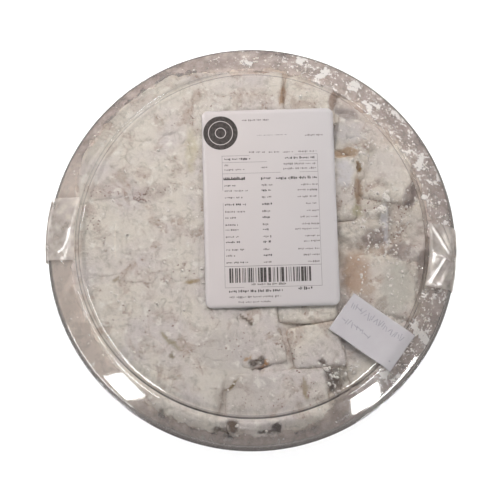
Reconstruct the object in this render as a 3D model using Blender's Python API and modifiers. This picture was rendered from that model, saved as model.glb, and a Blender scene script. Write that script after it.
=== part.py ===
"""A shut round tub of dusted Turkish delight.

The tub and its snap-on lid are thin turned shells of clear plastic. The sweets are soft blocks,
packed in two layers and pressed flat where they meet each other, the wall and the lid. A label,
a price sticker and two strips of tape lie on the lid. Metres, +Z up, origin in the middle of
the surface that the tub stands on. The front of the tub faces -Y.
"""

import math
import random

import bmesh
import bpy
from mathutils import Matrix, Vector

# Driving dimensions, in metres.
LID_RADIUS = 0.0900  # over the lid's skirt
TOTAL_HEIGHT = 0.0450  # to the lid's crest
SHEET = 0.0006  # thickness of the formed plastic
GAP = 0.0003  # air between pieces that touch
TURN_STEPS = 56  # sides of a turned shell

# Tub: the inside of the wall, the foot and the flange.
FLOOR_RADIUS = 0.0750  # where the corner between floor and wall starts
CORNER_RADIUS = 0.0050
WALL_TOP_RADIUS = 0.0842
WALL_TOP = 0.0316
FOOT_INNER_RADIUS = 0.0625  # the floor inside this is raised off the table
FOOT_RAISE = 0.0015
FOOT_STEP = 0.0025  # how far in that rise takes
FLANGE_TOP = 0.0333
FLANGE_EASE = 0.0008
FLANGE_RADIUS = 0.0886
LIP_DROP = 0.0018  # how far the flange's edge turns down

# Lid: a sunk panel inside a crest, a rounded shoulder, then a flange with its skirt.
PANEL_HEIGHT = TOTAL_HEIGHT - 0.0012
PANEL_RADIUS = 0.0747
GROOVE_RADIUS = 0.0596
GROOVE_DEPTH = 0.0004
GROOVE_HALF = 0.0011  # half its width
CREST_RADIUS = 0.0767
CREST_EASE = 0.0008
SHOULDER_RADIUS = 0.0100  # of the rounded shoulder's own arc
SHOULDER_CENTRE = 0.0775  # how far that arc's centre lies from the axis
LID_FLANGE_TOP = 0.0343
SKIRT_CORNER = 0.0006
SKIRT_END = 0.0308

# Paper and tape on the lid.
PAPER = 0.0002
LABEL_SIZE = (0.058, 0.088)
LABEL_CENTRE = (0.0079, 0.0152)
LABEL_TURN = 1.6  # degrees, anticlockwise from above
LABEL_CORNER = 0.0030
STICKER_SIZE = (0.032, 0.019)  # a price gun's usual label
STICKER_CENTRE = (0.0515, -0.0398)
STICKER_TURN = -35.5
STICKER_BRIDGE = 0.0070  # where it leaves the panel, measured in from the crest
TAPE_WIDTH = 0.028
TAPE_TURNS = {"tape_left": 176.0, "tape_right": -4.5}  # degrees round the tub, from +X
TAPE_SLACK = 0.0010  # how far the tape stands off the lid's skirt
TAPE_LANDS = 0.0245  # where it meets the tub's wall again
TAPE_END = 0.0150
TAPE_STEPS = 6

# Sweets.
LAYER_SPLIT = 0.0224  # height where the two layers meet
SWEET_FLOOR = FOOT_RAISE + SHEET + GAP
SWEET_CEILING = PANEL_HEIGHT - GROOVE_DEPTH - SHEET - GAP
WALL_CLEARANCE = 0.0009  # keeps flat-sided sweets inside the faceted wall
ROUND_CLEARANCE = 0.0014  # the same at the foot's corner and under the shoulder
WALL_FACETS = 36
SPARE_HEIGHT = 0.004  # each block starts this much too tall, and is pressed flat
CORNER_WANDER = 0.0011  # how uneven the blocks' corners are
SHORTEST_EDGE = 0.0028
PRESSED_EDGE = 0.0013  # edge rounding of a sweet squeezed in its row
FREE_EDGE = 0.0026  # and of one with room beside it
LOOSE_DROP = 0.0010  # a top further under the lid than this isn't pressed by it
PRESSED_LEAN = 1.0  # degrees that a pressed sweet may lean
LOOSE_LEAN = 4.0
SEED = 11

# Upper layer, row by row from the back: x, y, width, depth, turn in degrees, and how far the
# top lies under the lid. The left half is packed tight and the right half has loose places.
UPPER_ROWS = {
    "back": (
        (-0.0435, 0.0590, 0.0320, 0.0270, 24.0, 0.0000),
        (-0.0185, 0.0620, 0.0200, 0.0290, 4.0, 0.0000),
        (0.0020, 0.0625, 0.0230, 0.0270, 0.0, 0.0000),
        (0.0255, 0.0610, 0.0215, 0.0270, -5.0, 0.0002),
        (0.0455, 0.0480, 0.0185, 0.0175, -14.0, 0.0030),
    ),
    "rear": (
        (-0.0690, 0.0350, 0.0290, 0.0340, 12.0, 0.0000),
        (-0.0415, 0.0325, 0.0290, 0.0310, 3.0, 0.0000),
        (-0.0140, 0.0330, 0.0280, 0.0320, 0.0, 0.0002),
        (0.0125, 0.0315, 0.0270, 0.0340, 2.0, 0.0003),
        (0.0355, 0.0245, 0.0210, 0.0300, -2.0, 0.0012),
        (0.0590, 0.0315, 0.0230, 0.0270, -9.0, 0.0030),
    ),
    "middle": (
        (-0.0710, 0.0000, 0.0330, 0.0350, 2.0, 0.0000),
        (-0.0400, -0.0005, 0.0330, 0.0360, 0.0, 0.0000),
        (-0.0085, -0.0010, 0.0310, 0.0350, 1.0, 0.0002),
        (0.0225, -0.0160, 0.0300, 0.0370, -2.0, 0.0004),
        (0.0520, 0.0030, 0.0250, 0.0190, 8.0, 0.0085),
        (0.0565, -0.0195, 0.0300, 0.0290, -9.0, 0.0022),
    ),
    "near": (
        (-0.0690, -0.0355, 0.0300, 0.0350, -14.0, 0.0000),
        (-0.0435, -0.0375, 0.0230, 0.0380, -9.0, 0.0000),
        (-0.0190, -0.0365, 0.0280, 0.0320, -3.0, 0.0002),
        (0.0050, -0.0410, 0.0220, 0.0250, 12.0, 0.0006),
        (0.0300, -0.0450, 0.0270, 0.0200, 11.0, 0.0004),
    ),
    "front": (
        (-0.0515, -0.0635, 0.0290, 0.0240, -34.0, 0.0000),
        (-0.0245, -0.0665, 0.0240, 0.0270, -14.0, 0.0000),
        (0.0110, -0.0690, 0.0440, 0.0300, 4.0, 0.0002),
        (0.0490, -0.0470, 0.0250, 0.0210, 32.0, 0.0025),
    ),
}

# Lower layer, by rings from the wall inwards: how many, how far out, width round the ring, depth.
LOWER_RINGS = (
    (13, 0.0670, 0.0310, 0.0260),
    (6, 0.0355, 0.0320, 0.0290),
    (1, 0.0000, 0.0300, 0.0300),
)


def clear_scene():
    for old in list(bpy.data.objects):
        bpy.data.objects.remove(old, do_unlink=True)


def new_collection(name):
    collection = bpy.data.collections.new(name)
    bpy.context.scene.collection.children.link(collection)
    return collection


def principled(name, colour, roughness, transmission=0.0, ior=1.5):
    material = bpy.data.materials.new(name)
    material.use_nodes = True
    shader = material.node_tree.nodes["Principled BSDF"]
    shader.inputs["Base Color"].default_value = (*colour, 1.0)
    shader.inputs["Roughness"].default_value = roughness
    shader.inputs["Transmission Weight"].default_value = transmission
    shader.inputs["IOR"].default_value = ior
    return material


def clear_plastic():
    return principled("clear PET", (0.93, 0.94, 0.95), 0.04, transmission=1.0, ior=1.575)


def label_paper():
    return principled("thermal label paper", (0.60, 0.56, 0.56), 0.55)


def sticker_paper():
    return principled("price sticker paper", (0.55, 0.55, 0.60), 0.60)


def tape_film():
    return principled("packing tape", (0.90, 0.86, 0.80), 0.12, transmission=0.9, ior=1.49)


def dusted_sweet():
    return principled("dusted starch jelly", (0.52, 0.44, 0.37), 0.75)


def add_object(name, mesh, material, collection):
    piece = bpy.data.objects.new(name, mesh)
    piece.data.materials.append(material)
    collection.objects.link(piece)
    return piece


def arc(centre, radius, start, end, steps):
    """Points round an arc in the (radius, height) plane, both ends included; degrees."""
    points = []
    for step in range(steps + 1):
        angle = math.radians(start + (end - start) * step / steps)
        points.append((centre[0] + radius * math.cos(angle), centre[1] + radius * math.sin(angle)))
    return points


def profile_mesh(name, profile):
    """A line of edges in the XZ plane, ready for a Screw modifier."""
    bm = bmesh.new()
    line = [bm.verts.new((radius, 0.0, height)) for radius, height in profile]
    for first, second in zip(line, line[1:]):
        bm.edges.new((first, second))
    mesh = bpy.data.meshes.new(name)
    bm.to_mesh(mesh)
    bm.free()
    return mesh


def turn_and_thicken(piece, angle, steps, thickness):
    """Turns a profile into a sheet, then gives it thickness behind its front face."""
    screw = piece.modifiers.new("Turn", "SCREW")
    screw.angle = angle
    screw.steps = steps
    screw.render_steps = steps
    screw.use_smooth_shade = True
    screw.use_merge_vertices = True
    screw.merge_threshold = 0.00001
    wall = piece.modifiers.new("Sheet", "SOLIDIFY")
    wall.thickness = thickness
    wall.offset = -1.0
    wall.use_even_offset = True


def tub_profile():
    """The inner face of the tub, from the middle of the floor out, up the wall and over the rim."""
    floor = SHEET
    corner = (FLOOR_RADIUS, floor + CORNER_RADIUS)
    points = [(0.0, floor + FOOT_RAISE), (FOOT_INNER_RADIUS - FOOT_STEP, floor + FOOT_RAISE)]
    points.append((FOOT_INNER_RADIUS, floor))
    points += arc(corner, CORNER_RADIUS, -90.0, -9.0, 4)
    points.append((WALL_TOP_RADIUS, WALL_TOP))
    points.append((WALL_TOP_RADIUS + FLANGE_EASE, FLANGE_TOP))
    points.append((FLANGE_RADIUS, FLANGE_TOP))
    points.append((FLANGE_RADIUS, FLANGE_TOP - LIP_DROP))
    return points


def lid_profile():
    """The outer face of the lid, from its middle out over the crest and down the skirt."""
    shoulder = (SHOULDER_CENTRE, TOTAL_HEIGHT - SHOULDER_RADIUS)
    points = [
        (0.0, PANEL_HEIGHT),
        (GROOVE_RADIUS - GROOVE_HALF, PANEL_HEIGHT),
        (GROOVE_RADIUS, PANEL_HEIGHT - GROOVE_DEPTH),
        (GROOVE_RADIUS + GROOVE_HALF, PANEL_HEIGHT),
        (PANEL_RADIUS, PANEL_HEIGHT),
        (CREST_RADIUS - CREST_EASE, TOTAL_HEIGHT - CREST_EASE / 2),
        (CREST_RADIUS, TOTAL_HEIGHT),
    ]
    points += arc(shoulder, SHOULDER_RADIUS, 84.0, 6.0, 6)
    points.append((SHOULDER_CENTRE + SHOULDER_RADIUS + CREST_EASE / 2, LID_FLANGE_TOP))
    points.append((LID_RADIUS - SKIRT_CORNER, LID_FLANGE_TOP))
    points.append((LID_RADIUS, LID_FLANGE_TOP - SKIRT_CORNER))
    points.append((LID_RADIUS, SKIRT_END))
    return points


def build_tub(collection):
    tub = add_object("tub", profile_mesh("tub", tub_profile()), clear_plastic(), collection)
    turn_and_thicken(tub, math.tau, TURN_STEPS, SHEET)


def build_lid(collection):
    lid = add_object("lid", profile_mesh("lid", lid_profile()), clear_plastic(), collection)
    turn_and_thicken(lid, math.tau, TURN_STEPS, SHEET)


def build_label(collection):
    """A paper rectangle with rounded corners, flat on the lid's panel."""
    bm = bmesh.new()
    bmesh.ops.create_cube(bm, size=1.0)
    bmesh.ops.scale(bm, vec=(*LABEL_SIZE, PAPER), verts=bm.verts)
    upright = [e for e in bm.edges if abs(e.verts[0].co.z - e.verts[1].co.z) > PAPER / 2]
    bmesh.ops.bevel(bm, geom=upright, offset=LABEL_CORNER, segments=4, profile=0.5,
                    affect="EDGES", material=-1)
    mesh = bpy.data.meshes.new("label")
    bm.to_mesh(mesh)
    bm.free()
    label = add_object("label", mesh, label_paper(), collection)
    label.location = (*LABEL_CENTRE, PANEL_HEIGHT + GAP + PAPER / 2)
    label.rotation_euler.z = math.radians(LABEL_TURN)


def laid_height(radius):
    """Height of a thin sheet stuck over the panel, the crest and the top of the shoulder."""
    ramp_start = CREST_RADIUS - STICKER_BRIDGE
    if radius < ramp_start:
        return PANEL_HEIGHT
    if radius < CREST_RADIUS:
        share = (radius - ramp_start) / STICKER_BRIDGE
        return PANEL_HEIGHT + (TOTAL_HEIGHT - PANEL_HEIGHT) * share
    out = max(radius - SHOULDER_CENTRE, 0.0)
    return TOTAL_HEIGHT - SHOULDER_RADIUS + math.sqrt(SHOULDER_RADIUS**2 - out**2)


def build_sticker(collection):
    """A small paper rectangle that bends over the lid's crest."""
    bm = bmesh.new()
    bmesh.ops.create_grid(bm, x_segments=12, y_segments=6, size=0.5)
    bmesh.ops.scale(bm, vec=(*STICKER_SIZE, 1.0), verts=bm.verts)
    place = Matrix.Translation((*STICKER_CENTRE, 0.0))
    place @= Matrix.Rotation(math.radians(STICKER_TURN), 4, "Z")
    bmesh.ops.transform(bm, matrix=place, verts=bm.verts)
    for vert in bm.verts:
        vert.co.z = laid_height(math.hypot(vert.co.x, vert.co.y)) + GAP + PAPER
    mesh = bpy.data.meshes.new("sticker")
    bm.to_mesh(mesh)
    bm.free()
    sticker = add_object("sticker", mesh, sticker_paper(), collection)
    paper = sticker.modifiers.new("Paper", "SOLIDIFY")
    paper.thickness = PAPER
    paper.offset = -1.0


def tape_profile():
    """Over the shoulder, round the skirt with some slack, then down the tub's wall."""
    lift = GAP + PAPER
    shoulder = (SHOULDER_CENTRE, TOTAL_HEIGHT - SHOULDER_RADIUS)
    points = arc(shoulder, SHOULDER_RADIUS + lift, 90.0, 24.0, 5)
    out = LID_RADIUS + lift + TAPE_SLACK
    points.append((out, LID_FLANGE_TOP + lift))
    points.append((out, SKIRT_END))
    slope = (WALL_TOP_RADIUS - FLOOR_RADIUS - CORNER_RADIUS) / (WALL_TOP - CORNER_RADIUS - SHEET)
    for height in (TAPE_LANDS, TAPE_END):
        wall = WALL_TOP_RADIUS + SHEET - (WALL_TOP - height) * slope
        points.append((wall + 2 * lift, height))
    return points


def build_tape(name, middle, collection):
    """One strip of tape that holds the lid down."""
    tape = add_object(name, profile_mesh(name, tape_profile()), tape_film(), collection)
    spread = TAPE_WIDTH / LID_RADIUS
    turn_and_thicken(tape, spread, TAPE_STEPS, PAPER)
    tape.rotation_euler.z = math.radians(middle) - spread / 2


class Block:
    """One sweet while it is being pressed into its place."""

    def __init__(self, name, place, size, turn, tilt, heights, edge, rng):
        self.name = name
        self.edge_radius, self.edge_steps = edge
        low, high = heights
        height = high - low + SPARE_HEIGHT
        self.mesh = bmesh.new()
        bmesh.ops.create_cube(self.mesh, size=1.0)
        bmesh.ops.scale(self.mesh, vec=(size[0], size[1], height), verts=self.mesh.verts)
        for vert in self.mesh.verts:
            wander = [rng.uniform(-CORNER_WANDER, CORNER_WANDER) for _ in range(2)]
            vert.co += Vector((*wander, 0.0))
        spin = Matrix.Rotation(math.radians(turn), 4, "Z")
        lean = Matrix.Rotation(math.radians(tilt[0]), 4, "X")
        lean @= Matrix.Rotation(math.radians(tilt[1]), 4, "Y")
        move = Matrix.Translation((*place, (low + high) / 2))
        bmesh.ops.transform(self.mesh, matrix=move @ spin @ lean, verts=self.mesh.verts)
        self.middle = Vector((*place, 0.0))
        self.sides = [spin @ Vector((1.0, 0.0, 0.0)), spin @ Vector((0.0, 1.0, 0.0))]

    def reach(self, direction):
        return max(vert.co.dot(direction) for vert in self.mesh.verts)

    def press(self, direction, limit):
        """Cuts away what lies further than limit along direction."""
        if self.reach(direction) <= limit:
            return
        everything = self.mesh.verts[:] + self.mesh.edges[:] + self.mesh.faces[:]
        bmesh.ops.bisect_plane(self.mesh, geom=everything, dist=1e-7, clear_outer=True,
                               plane_co=direction * limit, plane_no=direction)
        rim = [edge for edge in self.mesh.edges if edge.is_boundary]
        bmesh.ops.holes_fill(self.mesh, edges=rim)


def press_into_tub(block, low, high):
    """Keeps a block between two heights and inside the tub's wall and the lid's shoulder."""
    block.press(Vector((0.0, 0.0, -1.0)), -low)
    block.press(Vector((0.0, 0.0, 1.0)), high)
    slope = math.atan2(WALL_TOP_RADIUS - FLOOR_RADIUS - CORNER_RADIUS,
                       WALL_TOP - CORNER_RADIUS - SHEET)
    wall_reach = WALL_TOP_RADIUS * math.cos(slope) - WALL_TOP * math.sin(slope)
    shoulder_height = TOTAL_HEIGHT - SHOULDER_RADIUS
    half = math.sqrt(0.5)
    shoulder_reach = (SHOULDER_CENTRE + shoulder_height) * half + SHOULDER_RADIUS - SHEET
    corner_reach = (FLOOR_RADIUS - SHEET - CORNER_RADIUS) * half + CORNER_RADIUS
    for facet in range(WALL_FACETS):
        angle = math.tau * facet / WALL_FACETS
        out = Vector((math.cos(angle), math.sin(angle), 0.0))
        up = Vector((0.0, 0.0, 1.0))
        block.press(out * math.cos(slope) - up * math.sin(slope), wall_reach - WALL_CLEARANCE)
        block.press((out + up) * half, shoulder_reach - ROUND_CLEARANCE)
        block.press((out - up) * half, corner_reach - ROUND_CLEARANCE)


def press_together(first, second):
    """Where two blocks would cross, both get a flat face along the side where they cross least."""
    least = None
    for side in first.sides + second.sides:
        away = side if (second.middle - first.middle).dot(side) > 0 else -side
        crossing = first.reach(away) + second.reach(-away)
        if least is None or crossing < least[0]:
            least = (crossing, away)
    crossing, away = least
    if crossing < -GAP:
        return
    meeting = (first.reach(away) - second.reach(-away)) / 2
    first.press(away, meeting - GAP / 2)
    second.press(-away, -meeting - GAP / 2)


def press_layer(blocks, low, high):
    for block in blocks:
        press_into_tub(block, low, high)
    for index, first in enumerate(blocks):
        for second in blocks[index + 1:]:
            press_together(first, second)


def finish_block(block, material, collection):
    """Drops tiny edges, closes the block as a hull and rounds its edges."""
    bmesh.ops.remove_doubles(block.mesh, verts=block.mesh.verts, dist=SHORTEST_EDGE)
    hull = bmesh.new()
    for vert in block.mesh.verts:
        hull.verts.new(vert.co)
    block.mesh.free()
    made = bmesh.ops.convex_hull(hull, input=hull.verts[:])
    inside = [item for item in made["geom_interior"] if isinstance(item, bmesh.types.BMVert)]
    bmesh.ops.delete(hull, geom=inside, context="VERTS")
    bmesh.ops.dissolve_limit(hull, angle_limit=math.radians(12.0), verts=hull.verts,
                             edges=hull.edges)
    bmesh.ops.recalc_face_normals(hull, faces=hull.faces)
    mesh = bpy.data.meshes.new(block.name)
    hull.to_mesh(mesh)
    hull.free()
    mesh.shade_smooth()
    sweet = add_object(block.name, mesh, material, collection)
    rounding = sweet.modifiers.new("Rounding", "BEVEL")
    rounding.width = block.edge_radius
    rounding.segments = block.edge_steps
    rounding.limit_method = "ANGLE"
    rounding.angle_limit = math.radians(25.0)


def upper_blocks(rng):
    """The blocks of UPPER_ROWS. A pressed one starts too tall, so that the lid flattens its top."""
    blocks = []
    low = LAYER_SPLIT + GAP / 2
    for row, sweets in UPPER_ROWS.items():
        for number, (x, y, width, depth, turn, drop) in enumerate(sweets, start=1):
            loose = drop > LOOSE_DROP
            lean = LOOSE_LEAN if loose else PRESSED_LEAN
            tilt = [rng.uniform(-lean, lean) for _ in range(2)]
            high = SWEET_CEILING - drop - (SPARE_HEIGHT / 2 if loose else 0.0)
            edge = (FREE_EDGE if loose else PRESSED_EDGE, 2)
            name = f"sweet_{row}_{number}"
            blocks.append(Block(name, (x, y), (width, depth), turn, tilt, (low, high), edge, rng))
    return blocks


def lower_blocks(rng):
    """The blocks of LOWER_RINGS, each ring a little uneven."""
    blocks = []
    heights = (SWEET_FLOOR, LAYER_SPLIT - GAP / 2)
    edge = (PRESSED_EDGE, 1)
    for count, ring, width, depth in LOWER_RINGS:
        for number in range(count):
            angle = 360.0 * number / count + rng.uniform(-3.0, 3.0)
            place = (ring * math.cos(math.radians(angle)), ring * math.sin(math.radians(angle)))
            tilt = [rng.uniform(-PRESSED_LEAN, PRESSED_LEAN) for _ in range(2)]
            turn = angle - 90.0 + rng.uniform(-5.0, 5.0)
            name = f"sweet_low_{len(blocks) + 1:02d}"
            blocks.append(Block(name, place, (width, depth), turn, tilt, heights, edge, rng))
    return blocks


def build_sweets(collection):
    rng = random.Random(SEED)
    lower = lower_blocks(rng)
    upper = upper_blocks(rng)
    press_layer(lower, SWEET_FLOOR, LAYER_SPLIT - GAP / 2)
    press_layer(upper, LAYER_SPLIT + GAP / 2, SWEET_CEILING)
    material = dusted_sweet()
    for block in upper + lower:
        finish_block(block, material, collection)


def main():
    clear_scene()
    collection = new_collection("turkish_delight_tub")
    build_tub(collection)
    build_lid(collection)
    build_label(collection)
    build_sticker(collection)
    for name, middle in TAPE_TURNS.items():
        build_tape(name, middle, collection)
    build_sweets(collection)


main()
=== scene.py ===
import math
import random

import bmesh
import bpy
from mathutils import Matrix, Quaternion, Vector, noise


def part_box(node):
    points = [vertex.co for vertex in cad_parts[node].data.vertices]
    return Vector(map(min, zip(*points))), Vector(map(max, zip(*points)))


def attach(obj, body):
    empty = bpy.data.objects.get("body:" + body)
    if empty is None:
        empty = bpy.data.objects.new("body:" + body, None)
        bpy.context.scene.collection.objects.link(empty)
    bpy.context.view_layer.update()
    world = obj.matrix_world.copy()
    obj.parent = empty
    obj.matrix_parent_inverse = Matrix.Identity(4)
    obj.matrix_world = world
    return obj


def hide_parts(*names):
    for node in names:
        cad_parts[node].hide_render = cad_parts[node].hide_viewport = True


# A shut round tub of powdered Turkish delight, made in the order in which the real one is packed:
# tub, sweets, loose powder, nuts and bare jelly, lid, powder on the lid, label, price sticker,
# tape. Sizes are in millimetres and become metres when a piece is finished. +Z is up and the
# front faces -Y.
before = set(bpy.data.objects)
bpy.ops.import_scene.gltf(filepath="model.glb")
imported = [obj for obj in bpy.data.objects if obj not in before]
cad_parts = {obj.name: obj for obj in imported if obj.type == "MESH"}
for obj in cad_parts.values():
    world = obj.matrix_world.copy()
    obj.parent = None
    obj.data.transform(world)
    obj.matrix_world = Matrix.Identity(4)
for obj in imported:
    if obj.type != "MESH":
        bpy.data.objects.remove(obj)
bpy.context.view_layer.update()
MM = 0.001


# --- Camera -----------------------
# The photo looks down at the tub from the front, about ten degrees off the vertical. The rings
# of the lid give this place and lens.
scene = bpy.context.scene
camera = bpy.data.objects.new("camera", bpy.data.cameras.new("camera"))
scene.collection.objects.link(camera)
scene.camera = camera
camera.data.sensor_width = 36.0
camera.data.lens = 99.7
camera.data.clip_start = 0.01
CAMERA_AWAY = 0.600
CAMERA_RISE = math.radians(79.634)
aim = Vector((-0.00083, -0.00407, 0.045))
from_aim = Vector((0.0, -math.cos(CAMERA_RISE), math.sin(CAMERA_RISE)))
camera.location = aim + from_aim * CAMERA_AWAY
camera.rotation_euler = (-from_aim).to_track_quat("-Z", "Y").to_euler()


# --- Studio -----------------------
# A soft pale room: a broad key light from behind, dimmer fill light all round, and upright soft
# boxes and strips low at the corners, whose mirror images lie on the lid's rim.
def linear(code):
    """An sRGB hex colour as the linear RGBA that Blender works in."""
    parts = [int(code[i:i + 2], 16) / 255 for i in (1, 3, 5)]
    return (*[p / 12.92 if p <= 0.04045 else ((p + 0.055) / 1.055) ** 2.4 for p in parts], 1.0)


def put(tree, kind, sockets=(), **settings):
    """Adds a node of a kind, or takes one that is there, and fills its sockets. A socket takes
    a value, another node's output, or another node, for the first output that it has in use."""
    made = kind if isinstance(kind, bpy.types.Node) else tree.nodes.new("ShaderNode" + kind)
    for name, value in settings.items():
        setattr(made, name, value)
    for name, value in dict(sockets).items():
        if isinstance(value, bpy.types.Node):
            value = next(output for output in value.outputs if output.enabled)
        if isinstance(value, bpy.types.NodeSocket):
            tree.links.new(value, made.inputs[name])
        else:
            made.inputs[name].default_value = value
    return made


scene.view_settings.view_transform = "Standard"
scene.cycles.caustics_refractive = False
scene.cycles.caustics_reflective = False
room = bpy.data.worlds.new("soft pale room")
scene.world = room
room.use_nodes = True
room.cycles_visibility.diffuse = False
tree = room.node_tree
tree.nodes.clear()
way = put(tree, "TexCoord").outputs["Generated"]
height = put(tree, "SeparateXYZ", {"Vector": way}).outputs["Z"]
rise = put(tree, "MapRange", {"Value": height, "From Min": -0.05, "From Max": 0.75},
           interpolation_type="SMOOTHSTEP")
sky = put(tree, "Mix", {0: rise, 6: linear("#7E8084"), 7: linear("#E6E6E8")}, data_type="RGBA")
sink = put(tree, "MapRange", {"Value": height, "From Min": -0.10, "From Max": -0.40})
ground = put(tree, "Mix", {0: sink, 6: sky, 7: linear("#DCD2CC")}, data_type="RGBA")
glow = put(tree, "Background", {"Color": ground, "Strength": 0.40})
put(tree, "OutputWorld", {"Surface": glow})


def hang_light(name, azimuth, elevation, distance, size, watts, mirrored, roll=0.0):
    """An area light that faces the tub. A mirrored one only shows in glossy surfaces, and any
    other only lights matt ones, so that no lamp veils what lies under the clear lid."""
    lamp = bpy.data.lights.new(name, "AREA")
    lamp.shape = "RECTANGLE"
    lamp.size, lamp.size_y = size
    lamp.energy = watts
    lamp.cycles.use_multiple_importance_sampling = mirrored
    holder = bpy.data.objects.new(name, lamp)
    scene.collection.objects.link(holder)
    a, e = math.radians(azimuth), math.radians(elevation)
    out = Vector((math.cos(a) * math.cos(e), math.sin(a) * math.cos(e), math.sin(e)))
    holder.location = Vector((0.0, 0.0, 0.04)) + out * distance
    facing = out.to_track_quat("Z", "Y") @ Quaternion((0.0, 0.0, 1.0), math.radians(roll))
    holder.rotation_euler = facing.to_euler()
    holder.visible_glossy = mirrored
    holder.visible_diffuse = not mirrored
    holder.visible_transmission = False
    return holder


hang_light("key", 97.0, 52.0, 0.40, (0.45, 0.36), 1.85, False)
hang_light("ceiling", 90.0, 86.0, 1.40, (2.4, 2.4), 4.6, False)
for number, (azimuth, watts) in enumerate(((25.0, 4.5), (155.0, 6.5), (215.0, 3.5),
                                           (270.0, 2.0), (325.0, 2.8)), start=1):
    hang_light(f"fill_{number}", azimuth, 16.0, 1.40, (1.2, 0.8), watts, False)
MIRRORED_AT = 0.90
for name, azimuth, elevation, size, watts, roll in (
        ("left_box", 221.8, 28.0, (0.15, 0.20), 3.4, -16.0),
        ("left_top", 222.5, 43.5, (0.23, 0.11), 2.2, 0.0),
        ("left_strip", 198.0, 52.0, (0.34, 0.06), 0.9, 0.0),
        ("left_low", 212.0, 0.0, (0.54, 0.14), 4.0, 0.0),
        ("left_slit", 166.0, 33.0, (0.025, 0.44), 0.9, 38.0),
        ("right_box", 312.0, 28.0, (0.15, 0.17), 3.6, -16.0),
        ("right_strip", 322.0, 17.0, (0.36, 0.13), 3.6, 7.0),
        ("right_top", 317.5, 43.0, (0.17, 0.11), 1.7, 0.0),
        ("right_slit", 5.0, 31.0, (0.03, 0.30), 0.9, 5.0)):
    hang_light(name, azimuth, elevation, MIRRORED_AT, size, watts, True, roll)


def new_material(name):
    """A new material, its node tree, and the place on the piece that its patterns follow."""
    material = bpy.data.materials.new(name)
    material.use_nodes = True
    tree = material.node_tree
    return material, tree, put(tree, "TexCoord").outputs["Object"]


def matt(name, colours, grain, detail=3.0, span=(0.0, 1.0), roughness=0.5, tooth=None):
    """A dull material that wavers between two colours, in patches of a grain in millimetres.
    Span is the stretch of the noise that lies between them. Tooth is the fine relief: its
    grain in millimetres, its strength and its depth in metres."""
    material, tree, place = new_material(name)
    body = tree.nodes["Principled BSDF"]
    patches = put(tree, "TexNoise", {"Vector": place, "Scale": 1000 / grain, "Detail": detail})
    share = put(tree, "MapRange", {"Value": patches, "From Min": span[0], "From Max": span[1]})
    tone = put(tree, "Mix", {0: share, 6: linear(colours[0]), 7: linear(colours[1])},
               data_type="RGBA")
    put(tree, body, {"Base Color": tone, "Roughness": roughness})
    if tooth:
        relief = put(tree, "TexNoise", {"Vector": place, "Scale": 1000 / tooth[0], "Detail": 2.0})
        bump = put(tree, "Bump", {"Height": relief, "Strength": tooth[1], "Distance": tooth[2]})
        put(tree, body, {"Normal": bump})
    return material


# The floor is a sheet of white studio vinyl, faintly uneven in tone, with a lamp of its own.
vinyl = matt("white studio vinyl", ("#F8F8F9", "#FCFCFC"), 1000 / 3.0, detail=2.0, roughness=0.7)
bm = bmesh.new()
bmesh.ops.create_circle(bm, cap_ends=True, segments=96, radius=2.5)
floor = bpy.data.objects.new("floor", bpy.data.meshes.new("floor"))
bm.to_mesh(floor.data)
bm.free()
floor.data.materials.append(vinyl)
scene.collection.objects.link(floor)
floor.visible_glossy = False
floor.visible_transmission = False
floor_lamp = hang_light("floor_lamp", 270.0, 70.0, 1.60, (2.0, 2.0), 31.0, False)
floor_only = bpy.data.collections.new("lit by the floor lamp")
floor_only.objects.link(floor)
floor_lamp.light_linking.receiver_collection = floor_only
floor_lamp.light_linking.blocker_collection = floor_only


# --- Tub --------------------------
# The bottom shell, of clear PET formed over a mould from sheet 0.4 mm thick. Its flared wall ends
# in a flange that the lid snaps over, and its floor is raised inside a ring that it stands on.
def turned(corners, steps, start=0.0, sweep=360.0):
    """A line through (radius, height, ease) corners, turned round the tub's axis, whole or for
    part of a turn, facing out. Ease is how far before and after a corner its rounding starts."""
    bm = bmesh.new()
    verts = [bm.verts.new((radius, 0.0, height)) for radius, height, _ in corners]
    for pair in zip(verts, verts[1:]):
        bm.edges.new(pair)
    for vert, (_, _, ease) in zip(verts, corners):
        if ease:
            bmesh.ops.bevel(bm, geom=[vert], offset=ease, segments=5 + round(2 * ease),
                            profile=0.5, affect="VERTICES", material=-1)
    bmesh.ops.rotate(bm, verts=bm.verts, cent=(0, 0, 0),
                     matrix=Matrix.Rotation(math.radians(start), 3, "Z"))
    bmesh.ops.spin(bm, geom=bm.verts[:] + bm.edges[:], axis=(0, 0, 1), cent=(0, 0, 0),
                   angle=math.radians(sweep), steps=steps, use_merge=sweep == 360.0)
    bmesh.ops.remove_doubles(bm, verts=bm.verts, dist=0.0005)
    bmesh.ops.recalc_face_normals(bm, faces=bm.faces)
    if sum(face.normal.z for face in bm.faces) < 0:
        bmesh.ops.reverse_faces(bm, faces=bm.faces)
    return bm


def finish_piece(name, bm, materials, nodes=()):
    """Turns a bmesh in millimetres into a piece of the tub that stands for its CAD nodes."""
    bmesh.ops.scale(bm, vec=(MM, MM, MM), verts=bm.verts)
    mesh = bpy.data.meshes.new(name)
    for face in bm.faces:
        face.smooth = True
    bm.to_mesh(mesh)
    bm.free()
    for material in materials:
        mesh.materials.append(material)
    piece = bpy.data.objects.new(name, mesh)
    scene.collection.objects.link(piece)
    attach(piece, "root")
    if nodes:
        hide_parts(*nodes)
    return piece


def thicken(piece, thickness, offset, material_offset=0):
    """Gives a sheet its thickness in millimetres."""
    sheet = piece.modifiers.new("sheet", "SOLIDIFY")
    sheet.thickness = thickness * MM
    sheet.offset = offset
    sheet.use_even_offset = True
    sheet.material_offset = material_offset


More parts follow.
